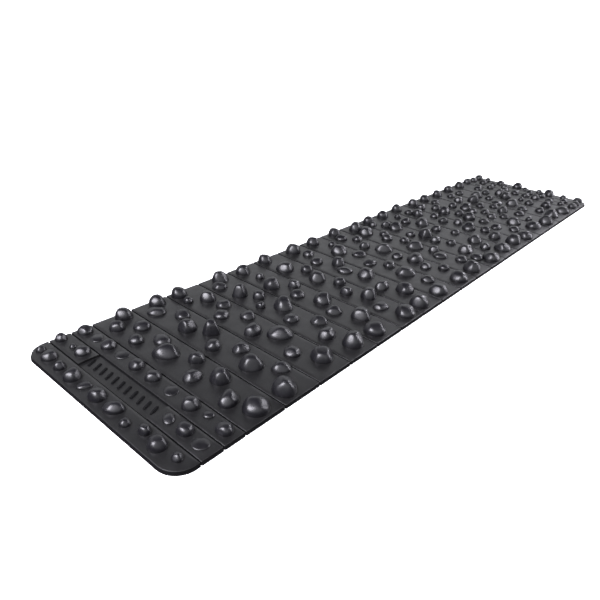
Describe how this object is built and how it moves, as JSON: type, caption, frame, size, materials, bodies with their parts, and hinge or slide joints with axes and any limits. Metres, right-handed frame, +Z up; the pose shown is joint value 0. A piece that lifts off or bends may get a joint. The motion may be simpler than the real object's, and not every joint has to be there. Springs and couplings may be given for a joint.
{
  "type": "roll-up pebble foot mat",
  "caption": "Roll-up rubber foot mat with moulded stone shapes on narrow strips that bend at thin hinge grooves, rounded at both ends.",
  "frame": {"origin": "on the floor under the middle of the mat", "axes": "+X along the mat towards the plain end, +Y across it, +Z up out of the stones"},
  "size_m": [1.684, 0.4, 0.0335],
  "materials": {
    "strip_rubber": "fine matte moulded texture between the stones",
    "stone_rubber": "smooth satin skin on the moulded stones",
    "web_rubber": "matte"
  },
  "bodies": {
    "panel_01": {"strip_01": "strip_rubber"},
    "panel_02": {"strip_02": "strip_rubber", "hinge_web_01": "web_rubber"},
    "panel_03": {"strip_03": "strip_rubber", "hinge_web_02": "web_rubber"},
    "panel_04": {"strip_04": "strip_rubber", "hinge_web_03": "web_rubber"},
    "panel_05": {"strip_05": "strip_rubber", "hinge_web_04": "web_rubber"},
    "panel_06": {"strip_06": "strip_rubber", "hinge_web_05": "web_rubber"},
    "panel_07": {"strip_07": "strip_rubber", "hinge_web_06": "web_rubber"},
    "panel_08": {"strip_08": "strip_rubber", "hinge_web_07": "web_rubber"},
    "panel_09": {"strip_09": "strip_rubber", "hinge_web_08": "web_rubber"},
    "panel_10": {"strip_10": "strip_rubber", "hinge_web_09": "web_rubber"},
    "panel_11": {"strip_11": "strip_rubber", "hinge_web_10": "web_rubber"},
    "panel_12": {"strip_12": "strip_rubber", "hinge_web_11": "web_rubber"},
    "panel_13": {"strip_13": "strip_rubber", "hinge_web_12": "web_rubber"},
    "panel_14": {"strip_14": "strip_rubber", "hinge_web_13": "web_rubber"},
    "panel_15": {"strip_15": "strip_rubber", "hinge_web_14": "web_rubber"},
    "panel_16": {"strip_16": "strip_rubber", "hinge_web_15": "web_rubber"},
    "panel_17": {"strip_17": "strip_rubber", "hinge_web_16": "web_rubber"},
    "panel_18": {"strip_18": "strip_rubber", "hinge_web_17": "web_rubber"},
    "panel_19": {"strip_19": "strip_rubber", "hinge_web_18": "web_rubber"},
    "panel_20": {"strip_20": "strip_rubber", "hinge_web_19": "web_rubber"},
    "panel_21": {"strip_21": "strip_rubber", "hinge_web_20": "web_rubber"},
    "panel_22": {"strip_22": "strip_rubber", "hinge_web_21": "web_rubber"},
    "panel_23": {"strip_23": "strip_rubber", "hinge_web_22": "web_rubber"},
    "panel_24": {"strip_24": "strip_rubber", "hinge_web_23": "web_rubber"}
  },
  "joints": [
    {"name": "groove_23", "type": "hinge", "parent": "panel_24", "child": "panel_23", "pos_m": [0.798, 0, 0.0022], "axis": [0, 1, 0], "range_deg": [-8, 11.5], "stiffness_Nm_per_rad": 0.3},
    {"name": "groove_22", "type": "hinge", "parent": "panel_23", "child": "panel_22", "pos_m": [0.759, 0, 0.0022], "axis": [0, 1, 0], "range_deg": [-8, 10.9], "stiffness_Nm_per_rad": 0.3},
    {"name": "groove_21", "type": "hinge", "parent": "panel_22", "child": "panel_21", "pos_m": [0.72, 0, 0.0022], "axis": [0, 1, 0], "range_deg": [-8, 16.6], "stiffness_Nm_per_rad": 0.3},
    {"name": "groove_20", "type": "hinge", "parent": "panel_21", "child": "panel_20", "pos_m": [0.64, 0, 0.0022], "axis": [0, 1, 0], "range_deg": [-8, 22.5], "stiffness_Nm_per_rad": 0.3},
    {"name": "groove_19", "type": "hinge", "parent": "panel_20", "child": "panel_19", "pos_m": [0.56, 0, 0.0022], "axis": [0, 1, 0], "range_deg": [-8, 22.8], "stiffness_Nm_per_rad": 0.3},
    {"name": "groove_18", "type": "hinge", "parent": "panel_19", "child": "panel_18", "pos_m": [0.48, 0, 0.0022], "axis": [0, 1, 0], "range_deg": [-8, 23.1], "stiffness_Nm_per_rad": 0.3},
    {"name": "groove_17", "type": "hinge", "parent": "panel_18", "child": "panel_17", "pos_m": [0.4, 0, 0.0022], "axis": [0, 1, 0], "range_deg": [-8, 23.4], "stiffness_Nm_per_rad": 0.3},
    {"name": "groove_16", "type": "hinge", "parent": "panel_17", "child": "panel_16", "pos_m": [0.32, 0, 0.0022], "axis": [0, 1, 0], "range_deg": [-8, 23.7], "stiffness_Nm_per_rad": 0.3},
    {"name": "groove_15", "type": "hinge", "parent": "panel_16", "child": "panel_15", "pos_m": [0.24, 0, 0.0022], "axis": [0, 1, 0], "range_deg": [-8, 24.1], "stiffness_Nm_per_rad": 0.3},
    {"name": "groove_14", "type": "hinge", "parent": "panel_15", "child": "panel_14", "pos_m": [0.16, 0, 0.0022], "axis": [0, 1, 0], "range_deg": [-8, 24.5], "stiffness_Nm_per_rad": 0.3},
    {"name": "groove_13", "type": "hinge", "parent": "panel_14", "child": "panel_13", "pos_m": [0.08, 0, 0.0022], "axis": [0, 1, 0], "range_deg": [-8, 24.8], "stiffness_Nm_per_rad": 0.3},
    {"name": "groove_12", "type": "hinge", "parent": "panel_13", "child": "panel_12", "pos_m": [0, 0, 0.0022], "axis": [0, 1, 0], "range_deg": [-8, 25.2], "stiffness_Nm_per_rad": 0.3},
    {"name": "groove_11", "type": "hinge", "parent": "panel_12", "child": "panel_11", "pos_m": [-0.08, 0, 0.0022], "axis": [0, 1, 0], "range_deg": [-8, 25.7], "stiffness_Nm_per_rad": 0.3},
    {"name": "groove_10", "type": "hinge", "parent": "panel_11", "child": "panel_10", "pos_m": [-0.16, 0, 0.0022], "axis": [0, 1, 0], "range_deg": [-8, 26.1], "stiffness_Nm_per_rad": 0.3},
    {"name": "groove_09", "type": "hinge", "parent": "panel_10", "child": "panel_09", "pos_m": [-0.24, 0, 0.0022], "axis": [0, 1, 0], "range_deg": [-8, 26.6], "stiffness_Nm_per_rad": 0.3},
    {"name": "groove_08", "type": "hinge", "parent": "panel_09", "child": "panel_08", "pos_m": [-0.32, 0, 0.0022], "axis": [0, 1, 0], "range_deg": [-8, 27.1], "stiffness_Nm_per_rad": 0.3},
    {"name": "groove_07", "type": "hinge", "parent": "panel_08", "child": "panel_07", "pos_m": [-0.4, 0, 0.0022], "axis": [0, 1, 0], "range_deg": [-8, 27.6], "stiffness_Nm_per_rad": 0.3},
    {"name": "groove_06", "type": "hinge", "parent": "panel_07", "child": "panel_06", "pos_m": [-0.48, 0, 0.0022], "axis": [0, 1, 0], "range_deg": [-8, 28.1], "stiffness_Nm_per_rad": 0.3},
    {"name": "groove_05", "type": "hinge", "parent": "panel_06", "child": "panel_05", "pos_m": [-0.56, 0, 0.0022], "axis": [0, 1, 0], "range_deg": [-8, 28.7], "stiffness_Nm_per_rad": 0.3},
    {"name": "groove_04", "type": "hinge", "parent": "panel_05", "child": "panel_04", "pos_m": [-0.64, 0, 0.0022], "axis": [0, 1, 0], "range_deg": [-8, 29.3], "stiffness_Nm_per_rad": 0.3},
    {"name": "groove_03", "type": "hinge", "parent": "panel_04", "child": "panel_03", "pos_m": [-0.72, 0, 0.0022], "axis": [0, 1, 0], "range_deg": [-8, 30], "stiffness_Nm_per_rad": 0.3},
    {"name": "groove_02", "type": "hinge", "parent": "panel_03", "child": "panel_02", "pos_m": [-0.759, 0, 0.0022], "axis": [0, 1, 0], "range_deg": [-8, 30], "stiffness_Nm_per_rad": 0.3},
    {"name": "groove_01", "type": "hinge", "parent": "panel_02", "child": "panel_01", "pos_m": [-0.798, 0, 0.0022], "axis": [0, 1, 0], "range_deg": [-8, 30], "stiffness_Nm_per_rad": 0.3}
  ]
}
